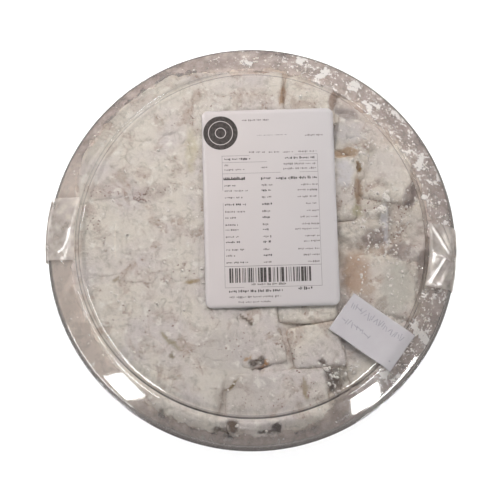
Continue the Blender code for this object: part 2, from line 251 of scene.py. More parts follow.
def clear_sheet(name, bloom, rim_bloom):
    """Clear formed plastic that lets lamps through, with painted shade at its sharp bends. Bloom
    is how much powder clings to it, and rim bloom how much clings near the rim."""
    ring_wall = 0.07612  # the radius in metres of the middle of the lid's ring wall
    material, tree, place = new_material(name)
    forward = put(tree, "SeparateXYZ", {"Vector": place}).outputs["Y"]
    plan = put(tree, "Mapping", {"Vector": place, "Scale": (1.0, 1.0, 0.0)})
    out = put(tree, "VectorMath", {0: plan}, operation="LENGTH")
    # The ring's wall, its two sharp corners and the rim bend are tinted dark grey as painted
    # shade, for the light that their bends turn away. The wall is painted darkest at the front,
    # where it leans away from the light.
    groove = put(tree, "Math", {0: out, 1: ring_wall}, operation="SUBTRACT")
    groove = put(tree, "Math", {0: groove}, operation="ABSOLUTE")
    wall = put(tree, "MapRange", {"Value": groove, "From Min": 0.00055, "From Max": 0.00075,
                                  "To Min": 1.0, "To Max": 0.0})
    crest = put(tree, "MapRange", {"Value": out, "From Min": 0.0759, "From Max": 0.0764,
                                   "To Min": 0.25, "To Max": 0.90})
    front = put(tree, "MapRange", {"Value": forward, "From Min": -0.072, "From Max": -0.035,
                                   "To Min": 1.0, "To Max": 0.08})
    steep = put(tree, "Math", {0: wall, 1: front}, operation="MULTIPLY")
    steep = put(tree, "Math", {0: steep, 1: crest}, operation="MULTIPLY")
    corner = put(tree, "Math", {0: groove, 1: 0.00062}, operation="SUBTRACT")
    corner = put(tree, "Math", {0: corner}, operation="ABSOLUTE")
    lines = put(tree, "MapRange", {"Value": corner, "From Min": 0.0001, "From Max": 0.0003,
                                   "To Min": 0.42, "To Max": 0.0})
    fainter = put(tree, "MapRange", {"Value": out, "From Min": 0.0758, "From Max": 0.0764,
                                     "To Min": 1.0, "To Max": 0.45})
    lines = put(tree, "Math", {0: lines, 1: fainter}, operation="MULTIPLY")
    rim = put(tree, "MapRange", {"Value": out, "From Min": 0.0884, "From Max": 0.0889,
                                 "To Max": 0.28})
    bent = put(tree, "Math", {0: lines, 1: rim}, operation="MAXIMUM")
    stretch = put(tree, "Math", {0: steep, 1: bent}, operation="MAXIMUM")
    # A dark grey tint of painted shade on the ring wall, its corners and the rim bend.
    painted_bend_shade = put(tree, "Mix", {0: stretch, 6: linear("#FBFCFD"), 7: linear("#524C51")},
               data_type="RGBA")
    wobble = put(tree, "TexNoise", {"Vector": place, "Scale": 1000 / 9.0, "Detail": 1.0})
    bump = put(tree, "Bump", {"Height": wobble, "Strength": 0.35, "Distance": 0.00012})
    surface = put(tree, tree.nodes["Principled BSDF"],
                  {"Base Color": painted_bend_shade, "Transmission Weight": 1.0, "Roughness": 0.075,
                   "IOR": 1.575, "Normal": bump})
    if bloom:
        # The film of powder starts farther in on the right, and is paler and fuller at the left.
        lean = put(tree, "VectorMath", {0: place, 1: (0.94, 0.34, 0.0)}, operation="DOT_PRODUCT")
        start = put(tree, "MapRange", {"Value": lean, "From Min": -0.006, "From Max": 0.014,
                                       "To Min": 0.0836, "To Max": 0.0772})
        ragged = put(tree, "TexNoise", {"Vector": place, "Scale": 1000 / 6.0, "Detail": 5.0,
                                        "Roughness": 0.65})
        shift = put(tree, "Math", {0: ragged, 1: 0.010, 2: out}, operation="MULTIPLY_ADD")
        past = put(tree, "Math", {0: shift, 1: start}, operation="SUBTRACT")
        pale = put(tree, "VectorMath", {0: place, 1: (-0.96, -0.28, 0.0)},
                   operation="DOT_PRODUCT")
        pale = put(tree, "MapRange", {"Value": pale, "From Min": 0.058, "From Max": 0.074})
        past = put(tree, "Math", {0: pale, 1: 0.0045, 2: past}, operation="MULTIPLY_ADD")
        reach = put(tree, "MapRange", {"Value": past, "From Min": 0.0048, "From Max": 0.0056})
        bare_rim = put(tree, "MapRange", {"Value": out, "From Min": 0.0874, "From Max": 0.0882,
                                          "To Min": 1.0, "To Max": 0.0})
        reach = put(tree, "Math", {0: reach, 1: bare_rim}, operation="MULTIPLY")
        outer = put(tree, "MapRange", {"Value": reach, "To Min": bloom, "To Max": rim_bloom})
        back = put(tree, "MapRange", {"Value": forward, "From Min": -0.075, "From Max": 0.0,
                                      "To Min": 0.84, "To Max": 1.0})
        drift = put(tree, "TexNoise", {"Vector": place, "Scale": 1000 / 8.0, "Detail": 7.0,
                                       "Roughness": 0.68})
        cover = put(tree, "MapRange", {"Value": drift, "From Min": 0.38, "From Max": 0.62,
                                       "To Min": 0.55, "To Max": 1.25})
        thick = put(tree, "Math", {0: pale, 1: 0.35, 2: cover}, operation="MULTIPLY_ADD")
        dense = put(tree, "Math", {0: thick, 1: back}, operation="MULTIPLY")
        film = put(tree, "Math", {0: dense, 1: outer}, operation="MULTIPLY", use_clamp=True)
        # Where more of it fell, the powder cakes into opaque white patches and specks.
        bar = put(tree, "MapRange", {"Value": lean, "From Min": -0.01, "From Max": 0.05,
                                     "To Min": 0.66, "To Max": 0.545})
        heaps = put(tree, "TexNoise", {"Vector": place, "Scale": 1000 / 7.0, "Detail": 6.0,
                                       "Roughness": 0.68})
        heaped = put(tree, "Math", {0: heaps, 1: bar}, operation="SUBTRACT")
        cake = put(tree, "MapRange", {"Value": heaped, "From Max": 0.018})
        grit = put(tree, "TexNoise", {"Vector": place, "Scale": 1000 / 1.8, "Detail": 2.0,
                                      "Roughness": 0.6})
        gritty = put(tree, "Math", {0: grit, 1: bar}, operation="SUBTRACT")
        speck = put(tree, "MapRange", {"Value": gritty, "From Min": 0.06, "From Max": 0.09})
        either = put(tree, "Math", {0: cake, 1: speck}, operation="MAXIMUM")
        caked = put(tree, "Math", {0: either, 1: min(1.0, 1.2 * rim_bloom)}, operation="MULTIPLY")
        white = put(tree, "Math", {0: caked, 1: reach}, operation="MULTIPLY")
        laden = put(tree, "Math", {0: film, 1: white}, operation="MAXIMUM")
        tufts = put(tree, "MapRange", {"Value": ragged, "From Min": 0.38, "From Max": 0.62})
        # The film's grey-brown tones are partly the powder's own beige and partly painted shade of
        # the dim band under the shoulder and rim.
        shaded_dust_tone = put(tree, "Mix", {0: tufts, 6: linear("#A1918A"), 7: linear("#C0B0A7")},
                         data_type="RGBA")
        dust = put(tree, "Mix", {0: pale, 6: shaded_dust_tone, 7: linear("#D6C6BA")}, data_type="RGBA")
        shade = put(tree, "Mix", {0: white, 6: dust, 7: linear("#F2EBE5")}, data_type="RGBA")
        powder = put(tree, "BsdfDiffuse", {"Color": shade})
        surface = put(tree, "MixShader", {0: laden, 1: surface, 2: powder})
    through = put(tree, "BsdfTransparent", {"Color": linear("#F4F5F6")})
    shadow = put(tree, "LightPath").outputs["Is Shadow Ray"]
    lit = put(tree, "MixShader", {0: shadow, 1: surface, 2: through})
    put(tree, tree.nodes["Material Output"], {"Surface": lit})
    return material


SHEET = 0.4
pet_clean = clear_sheet("clear PET, thermoformed", 0.0, 0.0)
pet_wall = clear_sheet("clear PET wall with a bloom of powder", 0.30, 0.42)
bm = turned([(0.0, 2.1, 0), (60.0, 2.1, 1.0), (62.5, 0.6, 1.0), (79.2, 0.6, 4.2),
             (84.2, 31.6, 0.8), (85.0, 33.3, 0.5), (88.6, 33.3, 0.5), (88.6, 31.5, 0)], 168)
tub = finish_piece("tub_shell", bm, [pet_wall, pet_clean], ["tub"])
thicken(tub, SHEET, 1.0, 1)


# --- Sweets -----------------------
# Soft starch jelly, cooked, cooled and cut into blocks, then rolled in fine white powder. The
# blocks are pressed against each other, the wall and the lid, and show bare amber jelly, nuts
# and worn powder in places.
UNDER_LID = [(0.0, 43.20), (72.3, 43.20), (74.4, 42.10), (76.9, 42.10), (78.6, 43.90),
             (83.2, 41.75), (87.2, 38.8), (88.3, 36.5), (88.7, 33.8), (95.0, 33.0)]
# Most entries are the sweets' own stains: bare amber jelly, nut marks, tinted and worn powder. The
# brown gaps at the back are partly jelly and partly painted shade. Others are painted light:
# painted shade in the dark void cores at the front (y near -81) and at (1.8, -52.5), the dark spot
# at (30.4, -52.5), the speckled gap at (34.6, -61.0), the pit at (54.0, 3.0) and (65.2, -3.2), the
# triangular shadow at (70.2, 22.5), the lower block in shadow at (42.0, 58.6) and the shaded block
# side at (45.3, -13.6); and a painted highlight, the pale streak at (58.5, 12.5) and (59.0, 4.0).
STAINS_AND_PAINTED_LIGHT = [  # x, y, half length, half width, turn, colour, strength
    (13.4, 66.7, 5.5, 1.6, 80, "#B08E6E", 0.9), (36.4, 66.5, 10.0, 1.9, 79, "#9C8475", 0.9),
    (42.0, 58.6, 7.0, 3.4, -12, "#A99C94", 0.9), (41.5, 49.5, 9.0, 5.5, 0, "#D6CCC7", 0.7),
    (41.7, 40.8, 7.6, 2.4, 8, "#B89A7C", 0.9), (46.9, 34.0, 2.9, 1.6, 90, "#86622F", 1.0),
    (40.5, 31.5, 4.6, 7.6, 0, "#DAD1CF", 0.8), (46.8, 23.5, 7.5, 2.1, 92, "#AC8F76", 0.95),
    (46.2, 14.8, 4.0, 2.6, 90, "#B5A988", 0.8), (60.0, 35.0, 11.0, 9.0, 0, "#D9CCC4", 0.5),
    (70.2, 22.5, 8.0, 3.4, 74, "#9B8A82", 0.95), (64.0, 14.0, 6.0, 3.6, 90, "#C9B8AA", 0.8),
    (54.0, 3.0, 7.5, 5.0, 20, "#A7958C", 0.9), (65.2, -3.2, 6.0, 4.6, 0, "#A7958C", 0.9),
    (58.5, 12.5, 6.0, 2.6, 90, "#E6DEDC", 0.9), (59.0, 4.0, 7.0, 1.8, 88, "#E2DADA", 0.9),
    (45.3, -13.6, 11.0, 6.8, 88, "#BFA189", 0.95), (50.5, -20.5, 7.0, 3.0, 30, "#C3A994", 0.7),
    (63.0, -19.0, 14.0, 7.8, 80, "#C8C0B2", 0.65), (74.2, -13.0, 14.0, 2.5, 85, "#9C8A80", 0.9),
    (-26.8, 41.1, 11.0, 3.0, 90, "#CBBD9B", 0.55), (-35.0, -43.5, 7.0, 1.5, -42, "#998866", 0.7),
    (-34.3, -49.5, 1.8, 1.5, 0, "#7E6A4A", 0.8), (-71.6, 14.1, 4.0, 3.0, 0, "#BFA598", 0.6),
    (-58.9, -16.9, 2.3, 1.3, 60, "#9B8163", 0.8), (-25.5, -17.4, 4.0, 1.5, 10, "#9D825A", 0.8),
    (-66.0, 22.5, 8.0, 4.5, 0, "#B9A196", 0.4), (-43.5, 22.0, 10.0, 4.0, 10, "#B39B90", 0.4),
    (1.8, -52.5, 4.4, 2.0, 20, "#46301F", 1.0), (30.4, -52.5, 2.2, 1.7, 0, "#66544A", 0.9),
    (34.6, -61.0, 6.5, 3.4, -60, "#877870", 0.75), (22.6, -64.0, 6.5, 1.5, 100, "#9E8868", 0.8),
    (-2.8, -34.4, 5.2, 0.9, -37, "#6A5748", 0.95), (-8.5, -62.3, 5.2, 0.9, 41, "#7E6642", 0.95),
    (-8.3, -80.2, 3.6, 2.4, 72, "#55402F", 1.0), (-12.6, -81.4, 4.8, 1.2, -12, "#6A5340", 0.9),
    (10.6, -80.2, 3.2, 1.8, 65, "#33200F", 1.0), (11.4, -81.4, 1.8, 1.4, 0, "#33200F", 1.0),
    (5.4, -81.9, 5.0, 1.0, 8, "#3E2818", 1.0), (5.4, -53.4, 2.4, 1.4, 40, "#B98450", 0.9),
    (-2.2, -51.3, 2.8, 1.1, 30, "#A87A45", 0.85),
    (-12.0, -48.0, 15.0, 11.0, 0, "#C4B8B0", 0.45), (-2.0, -64.0, 14.0, 9.0, 0, "#C0B3AA", 0.45),
    (-14.0, -70.0, 7.0, 3.0, 70, "#A39182", 0.5), (56.0, -28.0, 3.0, 7.0, -30, "#A08E80", 0.6),
    (60.0, 12.0, 2.5, 9.0, 0, "#A39488", 0.6), (33.0, 55.0, 3.0, 6.0, -15, "#B39F90", 0.5)]
stain_and_light_colours = [Vector(linear(stain_and_light[5])) for stain_and_light in STAINS_AND_PAINTED_LIGHT]


def height_on(profile, radius):
    """The height at a radius on a profile of (radius, height) points."""
    for (r0, z0), (r1, z1) in zip(profile, profile[1:]):
        if radius <= r1:
            return z0 + (z1 - z0) * (radius - r0) / (r1 - r0)
    return profile[-1][1]


def under_lid(radius):
    """The height of the lid's inside at a radius."""
    return height_on(UNDER_LID, radius)


def smooth(low, high, value):
    """0 below low, 1 above high, and an eased step between them."""
    share = max(0.0, min(1.0, (value - low) / (high - low)))
    return share * share * (3.0 - 2.0 * share)


def stain_and_light_at(p):
    """The colour that the table of stains and painted light gives a point of the sweets' top, with
    its strength as alpha.
    """
    best, tint = 0.0, (0.5, 0.4, 0.3, 0.0)
    if p.z < 25.0:
        return tint
    x = p.x + 1.5 * noise.noise(p / 3.1)
    y = p.y + 1.5 * noise.noise(p / 3.1 + Vector((9.0, 4.0, 0.0)))
    for (cx, cy, long, short, turn, _, strength), colour in zip(STAINS_AND_PAINTED_LIGHT, stain_and_light_colours):
        dx, dy = x - cx, y - cy
        if abs(dx) + abs(dy) > 16.0:
            continue
        c, s = math.cos(math.radians(turn)), math.sin(math.radians(turn))
        away = math.hypot((dx * c + dy * s) / long, (dy * c - dx * s) / short)
        share = strength * (1.0 - smooth(0.55, 1.15, away))
        if share > best:
            best, tint = share, (*colour[:3], share)
    return tint


def coat_layers(bm):
    """The values of each vertex that the coat of powder reads: how hard the lid presses it, how
    rubbed it is together with painted shade deep in the gaps, and its stain and painted light."""
    layers = bm.verts.layers
    return layers.float.new("pressed"), layers.float.new("bare"), layers.float_color.new("stain_and_light")


def soften(node, voxel, swell, lumps, ceiling):
    """A CAD block remeshed finely, swollen against its neighbours and made lumpy. A block with a
    ceiling is pressed flat where it meets the lid."""
    raw = bpy.data.objects.new(node + "_raw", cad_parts[node].data.copy())
    bm = bmesh.new()
    bm.from_mesh(raw.data)
    bmesh.ops.remove_doubles(bm, verts=bm.verts, dist=0.00001)
    bm.to_mesh(raw.data)
    bm.free()
    scene.collection.objects.link(raw)
    remesh = raw.modifiers.new("remesh", "REMESH")
    remesh.mode = "VOXEL"
    remesh.voxel_size = voxel * MM
    bpy.context.view_layer.update()
    fine = raw.evaluated_get(bpy.context.evaluated_depsgraph_get()).to_mesh()
    bm = bmesh.new()
    bm.from_mesh(fine)
    bpy.data.objects.remove(raw)
    bmesh.ops.scale(bm, vec=(1000.0,) * 3, verts=bm.verts)
    for _ in range(2):
        bmesh.ops.smooth_vert(bm, verts=bm.verts, factor=0.5, use_axis_x=True, use_axis_y=True,
                              use_axis_z=True)
    bm.normal_update()
    moves = []
    for vert in bm.verts:
        p = vert.co
        coarse = noise.fractal(p / 7.0, 0.9, 2.1, 3)
        fine_lump = noise.fractal(p / 1.9 + Vector((7, 3, 1)), 0.8, 2.1, 2)
        side = 1.0 - abs(vert.normal.z)
        lump = lumps * (0.75 * coarse + 0.30 * fine_lump)
        moves.append((vert.normal * (swell + side * 0.4 + lump), side))
    pressed, bare, stain_and_light = coat_layers(bm)
    for vert, (move, side) in zip(bm.verts, moves):
        vert.co += move
        roof = under_lid(math.hypot(vert.co.x, vert.co.y)) if ceiling else 99.0
        over = vert.co.z - roof
        if over > 0:
            vert.co.z = roof - 0.02 * over
        vert[pressed] = max(0.0, min(1.0, 0.5 + over * 2.5))
        # Sides are rubbed bare, and the deeper they lie in the gaps the darker they are painted:
        # painted shade.
        vert[bare] = smooth(0.45, 0.95, side) * smooth(0.6, 2.5, 43.0 - vert.co.z)
        vert[stain_and_light] = stain_and_light_at(vert.co)
    return bm


# The coat: pale powder, thin in patches, with mould-like mottling, nut specks, rubbed sides that
# are darkened as painted shade deep in the gaps, the stains with their painted shade and
# highlight, and white clumps over all.
delight, tree, place = new_material("starch jelly under a coat of powder")
region = put(tree, "TexNoise", {"Vector": place, "Scale": 1000 / 24.0, "Detail": 3.0})
drift = put(tree, "MapRange", {"Value": region, "From Min": 0.44, "From Max": 0.60})
base = put(tree, "Mix", {0: drift, 6: linear("#E3D6C7"), 7: linear("#DACCC4")}, data_type="RGBA")
patches = put(tree, "TexNoise", {"Vector": place, "Scale": 1000 / 10.0, "Detail": 6.0,
                                 "Roughness": 0.66, "Distortion": 0.8})
thin = put(tree, "MapRange", {"Value": patches, "From Min": 0.50, "From Max": 0.66,
                              "To Max": 0.85}, interpolation_type="SMOOTHSTEP")
coat = put(tree, "Mix", {0: thin, 6: base, 7: linear("#BFA898")}, data_type="RGBA")
mould = put(tree, "TexNoise", {"Vector": place, "Scale": 1000 / 3.2, "Detail": 5.0,
                               "Roughness": 0.7, "Distortion": 0.6})
mottle = put(tree, "MapRange", {"Value": mould, "From Min": 0.50, "From Max": 0.68,
                                "To Max": 0.70})
mottled = put(tree, "Mix", {0: mottle, 6: coat, 7: linear("#A99C8B")}, data_type="RGBA")
specks = put(tree, "TexNoise", {"Vector": place, "Scale": 1000 / 1.5, "Detail": 3.0,
                                "Roughness": 0.65})
cluster = put(tree, "MapRange", {"Value": patches, "From Min": 0.52, "From Max": 0.60})
dots = put(tree, "MapRange", {"Value": specks, "From Min": 0.56, "From Max": 0.64,
                              "To Max": 0.75})
crumb = put(tree, "Math", {0: dots, 1: cluster}, operation="MULTIPLY")
spotted = put(tree, "Mix", {0: crumb, 6: mottled, 7: linear("#96796A")}, data_type="RGBA")
press = put(tree, "Attribute", attribute_name="pressed").outputs["Fac"]
squeezed = put(tree, "Math", {0: press, 1: 0.20}, operation="MULTIPLY")
flat = put(tree, "Mix", {0: squeezed, 6: spotted, 7: linear("#E6DCCF")}, data_type="RGBA")
# Rubbed sides and the painted shade deep in the gaps both mix the skin towards brown.
rubbed_and_shaded = put(tree, "Attribute", attribute_name="bare").outputs["Fac"]
rub = put(tree, "MapRange", {"Value": patches, "From Min": 0.36, "From Max": 0.60,
                             "To Min": 0.25, "To Max": 0.95})
side = put(tree, "Math", {0: rubbed_and_shaded, 1: rub}, operation="MULTIPLY")
skin = put(tree, "Mix", {0: side, 6: flat, 7: linear("#AB8F7B")}, data_type="RGBA")
# The table's colours go onto the coat: stains, painted shade and painted highlight alike.
marks = put(tree, "Attribute", attribute_name="stain_and_light")
grains = put(tree, "MapRange", {"Value": mould, "From Min": 0.35, "From Max": 0.65,
                                "To Min": 1.3, "To Max": 0.75})
stain_and_light_share = put(tree, "Math", {0: marks.outputs["Alpha"], 1: grains}, operation="MULTIPLY",
             use_clamp=True)
stained_and_lit = put(tree, "Mix", {0: stain_and_light_share, 6: skin, 7: marks.outputs["Color"]}, data_type="RGBA")
clumps = put(tree, "TexNoise", {"Vector": place, "Scale": 1000 / 4.2, "Detail": 5.0,
                                "Roughness": 0.62})
white = put(tree, "MapRange", {"Value": clumps, "From Min": 0.57, "From Max": 0.66,
                               "To Max": 0.75})
unmarked = put(tree, "MapRange", {"Value": stain_and_light_share, "From Min": 0.5, "From Max": 0.95,
                             "To Min": 1.0, "To Max": 0.1})
clods = put(tree, "Math", {0: white, 1: unmarked}, operation="MULTIPLY")
dusted = put(tree, "Mix", {0: clods, 6: stained_and_lit, 7: linear("#EFE6DA")}, data_type="RGBA")
grain = put(tree, "Math", {0: mould, 1: clumps}, operation="ADD")
bump = put(tree, "Bump", {"Height": grain, "Strength": 0.6, "Distance": 0.0008})
put(tree, tree.nodes["Principled BSDF"], {"Base Color": dusted, "Roughness": 0.72,
                                          "Specular IOR Level": 0.35, "Normal": bump})

for node in sorted(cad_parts):
    low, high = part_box(node)
    if node.startswith("sweet_low"):
        bm = soften(node, 1.5, 0.15, 0.7, False)
    elif node.startswith("sweet"):
        left = smooth(0.020, -0.010, (low[0] + high[0]) / 2)
        bm = soften(node, 0.9, 0.28 + 0.25 * left, 0.8, True)
    else:
        continue
    finish_piece(node.replace("sweet", "delight"), bm, [delight], [node])


# --- Loose powder -----------------
# The icing sugar and starch that the sweets are packed in. It has sifted into the gaps, fills them
# on the left, and lies deeper down on the right, where it is painted darker as shade.
HOLLOWS = [(2.2, -53.0, 6.0, 3.0, 7.0), (-9.0, -80.6, 4.5, 2.8, 6.0), (9.0, -81.0, 5.0, 2.8, 6.0),
           (30.4, -52.5, 3.0, 2.2, 3.0), (34.6, -61.0, 6.0, 4.0, 3.0), (55.8, 0.7, 9.0, 8.0, 3.0),
           (69.7, 23.0, 5.0, 8.0, 3.0), (-2.8, -34.4, 4.5, 1.2, 3.0)]  # x, y, half sizes, depth


def powder_level(x, y):
    """The height of the loose powder's surface."""
    radius = math.hypot(x, y)
    p = Vector((x, y, 0.0))
    torn = Vector((noise.noise(p / 2.6), noise.noise(p / 2.6 + Vector((5.0, 9.0, 2.0)))))
    left = 1.0 - smooth(-12.0, 30.0, x + 0.25 * min(0.0, y + 30.0))
    rough = noise.fractal(p / 8.0, 0.9, 2.1, 4)
    level = 38.8 + 3.9 * left + rough * (2.4 - 1.8 * left)
    level -= 2.2 * (1.0 - smooth(-74.0, -52.0, y)) * left
    edge = under_lid(radius) - 0.5 - 0.5 * abs(rough) - (1.0 - left) * 4.0
    if radius > 75.0:
        share = smooth(75.0, 78.0, radius)
        level = level * (1.0 - share) + edge * share
    right = smooth(-6.0, 14.0, 0.94 * x + 0.34 * y)
    brink = 82.4 - 4.6 * right + 1.1 * noise.fractal(p / 3.5, 0.8, 2.1, 3)
    brink += 3.0 * smooth(30.0, 60.0, -x) * smooth(-60.0, -35.0, y)
    level -= (level - 31.2) * smooth(brink - 0.9, brink + 0.9, radius)
    for cx, cy, rx, ry, depth in HOLLOWS:
        away = math.hypot((x + 2.0 * torn.x - cx) / rx, (y + 2.0 * torn.y - cy) / ry)
        level -= depth * (1.0 - smooth(0.35, 1.0, away))
    return min(level, under_lid(radius) - 0.06)


bm = bmesh.new()
bmesh.ops.create_grid(bm, x_segments=205, y_segments=205, size=84.0)
bmesh.ops.delete(bm, geom=[v for v in bm.verts if math.hypot(v.co.x, v.co.y) > 83.9],
                 context="VERTS")
pressed, bare, stain_and_light = coat_layers(bm)
for vert in bm.verts:
    vert.co.z = powder_level(vert.co.x, vert.co.y)
    vert.co.z += 0.12 * noise.noise(vert.co * 1.1)
    vert[pressed] = 0.3
    # Here the bare value is painted shade alone: the lower the powder lies on the right, the
    # darker it is painted.
    vert[bare] = 0.5 * (1.0 - smooth(35.0, 41.5, vert.co.z)) * smooth(-50.0, -20.0, vert.co.x)
    vert[stain_and_light] = stain_and_light_at(vert.co)
finish_piece("powder_drift", bm, [delight])


def scatter(name, spots, material, jag):
    """One piece of many small angular bits. A spot is a place, three half sizes, the way up
    and a seed for the bit's own turn and shape. The bits are made in batches, for speed."""
    whole = bmesh.new()
    carrier = bpy.data.meshes.new(name + "_batch")
    for first in range(0, len(spots), 100):
        batch = bmesh.new()
        for place, size, up, seed in spots[first:first + 100]:
            own = random.Random(seed)
            turn = up.to_track_quat("Z", "Y").to_matrix().to_4x4()
            turn = Matrix.Translation(place) @ turn @ Matrix.Rotation(own.uniform(0, 6.28), 4, "Z")
            made = bmesh.ops.create_icosphere(batch, subdivisions=1, radius=1.0,
                                              matrix=turn @ Matrix.Diagonal((*size, 1.0)))
            for vert in made["verts"]:
                out = vert.co - place
                vert.co = place + out * own.uniform(1.0 - jag, 1.0 + jag)
        batch.to_mesh(carrier)
        batch.free()
        whole.from_mesh(carrier)
    bpy.data.meshes.remove(carrier)
    finish_piece(name, whole, [material])


sugar = matt("clumped icing sugar", ("#DFD3C9", "#F2E9E0"), 2.0, roughness=0.85,
             tooth=(0.5, 0.5, 0.0002))

# Lumps of powder, most of them in the gaps and on the blocks of the right half.
LUMPS = [(47.3, -13.4, 3.0, 10), (42.0, -53.8, 3.2, 16), (38.0, -55.0, 6.0, 14),
         (55.8, 0.7, 7.0, 60), (34.6, -61.0, 4.5, 50), (60.0, 20.0, 8.0, 40),
         (66.0, 10.0, 6.0, 40), (52.0, 44.0, 7.0, 34), (2.2, -52.0, 4.0, 14),
         (30.0, -53.0, 3.0, 14), (62.0, -8.0, 5.0, 20), (47.5, 8.0, 3.0, 20),
         (-28.6, 44.7, 0.8, 6), (49.0, 52.0, 8.0, 30)]  # x, y, spread, count
UP = Vector((0.0, 0.0, 1.0))
dice = random.Random(21)
spots = []
for cx, cy, spread, count in LUMPS:
    for _ in range(count):
        x, y = dice.gauss(cx, spread / 1.6), dice.gauss(cy, spread / 1.6)
        if math.hypot(x, y) > 82.0:
            continue
        size = 0.22 + 0.75 * dice.random() ** 2.5
        top = min(under_lid(math.hypot(x, y)) - 0.3, 42.6)
        spots.append((Vector((x, y, top - dice.uniform(0.0, 0.5))),
                      (size, size * dice.uniform(0.6, 1.0), size * 0.5), UP, len(spots)))
scatter("powder_lumps", spots, sugar, 0.25)


# --- Nuts and bare jelly ----------
# Chopped nuts that broke out of the blocks, reddish brown under dust, and amber jelly where a
# block tore and no powder covers it.
nut = matt("chopped pistachio and almond skin, dusted", ("#8F6C5E", "#B89F93"), 1.8,
           span=(0.38, 0.62), roughness=0.6)
CRUMBS = [(-73.1, 23.0, -58.7, 22.0, 1.8, 46), (-53.4, 20.3, -33.7, 23.9, 2.0, 60),
          (-52.0, 19.0, -44.0, 18.0, 0.7, 26), (-70.0, 10.0, -66.0, 3.0, 3.0, 20),
          (-45.0, -8.0, -25.0, -14.0, 3.5, 30), (-60.0, -30.0, -35.0, -35.0, 6.0, 30),
          (-25.0, -50.0, 0.0, -45.0, 5.0, 40), (-15.0, -66.0, 25.0, -70.0, 4.0, 60),
          (20.0, -58.0, 30.0, -70.0, 3.0, 36), (12.0, -45.0, 20.0, -50.0, 2.5, 30),
          (-40.0, 60.0, -20.0, 55.0, 5.0, 24), (50.0, 20.0, 60.0, 10.0, 5.0, 40),
          (66.0, 20.0, 62.0, -5.0, 3.0, 40),
          (44.0, 22.0, 46.0, 26.0, 2.0, 10)]  # x and y of a trail's two ends, spread, count
dice = random.Random(5)
spots = []
for x0, y0, x1, y1, spread, count in CRUMBS:
    for _ in range(count):
        share = dice.random()
        x = x0 + (x1 - x0) * share + dice.gauss(0.0, spread * 0.6)
        y = y0 + (y1 - y0) * share + dice.gauss(0.0, spread * 0.6)
        size = 0.16 + 0.42 * dice.random() ** 2.0
        top = min(under_lid(math.hypot(x, y)), 43.12) - 0.01
        spots.append((Vector((x, y, top)), (size, size * dice.uniform(0.45, 0.9), 0.14), UP,
                      len(spots)))
scatter("nut_crumbs", spots, nut, 0.3)

amber = matt("bare amber jelly", ("#6E4F3A", "#A6876A"), 4.0, span=(0.36, 0.64), roughness=0.40,
             tooth=(1.6, 0.7, 0.0006))
amber.node_tree.nodes["Principled BSDF"].inputs["IOR"].default_value = 1.42
TEARS = [(2.8, -53.6, 39.6, 2.6, 1.0, 0.9, 12), (-1.6, -51.4, 42.0, 1.6, 0.7, 0.8, 9),
         (46.8, 34.0, 42.6, 0.5, 1.9, 0.85, 9)]  # x, y, top, half width, half depth, size, count
dice = random.Random(3)
spots = []
for cx, cy, top, wide, deep, size, count in TEARS:
    for _ in range(count):
        bit = size * dice.uniform(0.45, 1.0)
        place = Vector((cx + wide * dice.uniform(-1.0, 1.0), cy + deep * dice.uniform(-1.0, 1.0),
                        top - dice.uniform(0.4, 3.0)))
        up = Vector((dice.gauss(0.0, 0.5), dice.gauss(0.0, 0.5), 1.0))
        spots.append((place, (bit, bit * 0.7, bit * 0.5), up, len(spots)))
scatter("bare_jelly", spots, amber, 0.35)


# --- Lid --------------------------
# The top shell, of the same clear PET: a flat panel with a shallow ring and a rounded edge, a
# raised crest, a slanting shoulder that steepens outwards, and a flange whose skirt snaps over
# the tub's.
LID = [(0.0, 43.8, 0), (58.2, 43.8, 0.7), (59.6, 43.5, 0.7), (61.0, 43.8, 0.7),
       (73.7, 43.8, 1.5), (75.5, 43.02, 0.15), (75.75, 43.416, 0), (76.45, 44.525, 0),
       (76.75, 45.0, 0.3), (77.9, 45.0, 0.8), (83.4, 42.3, 4.0), (89.0, 38.7, 2.0),
       (89.35, 34.4, 0.3), (89.9, 34.3, 0.2), (90.0, 30.8, 0)]
pet_lid = clear_sheet("clear PET lid with a bloom of powder", 0.02, 0.80)
lid = finish_piece("lid_shell", turned(LID, 180), [pet_clean, pet_lid], ["lid"])
thicken(lid, SHEET, -1.0, 1)


# --- Powder on the lid ------------
# Specks and flakes of powder that stuck to the inside of the lid when the tub was turned over,
# most of them at the back right. The finer bloom is part of the lid's material.
def stuck_place(x, y, lift):
    """A place on the lid's inside, a little above its profile, and the way it faces there."""
    radius = math.hypot(x, y)
    slope = math.atan2(under_lid(radius - 0.3) - under_lid(radius + 0.3), 0.6)
    slope = max(-0.6, min(0.8, slope))
    up = Vector((math.sin(slope) * x / radius, math.sin(slope) * y / radius, math.cos(slope)))
    return Vector((x, y, under_lid(radius) + lift)), up


def stuck_share(x, y):
    """How likely a flake is to stick at a place."""
    radius, around = math.hypot(x, y), math.degrees(math.atan2(y, x))
    clump = smooth(-0.15, 0.55, noise.fractal(Vector((x, y, 3.0)) / 7.0, 0.8, 2.1, 3))
    right = smooth(20.0, 62.0, x) * smooth(-75.0, -30.0, y)
    share = 0.03 + 0.30 * right * clump
    if radius > 77.0:
        back = smooth(-75.0, 10.0, around) * (1.0 - smooth(70.0, 125.0, around))
        share += (0.04 + 0.46 * back) * (0.15 + 0.85 * clump)
    return share * (1.0 - smooth(85.8, 86.6, radius))


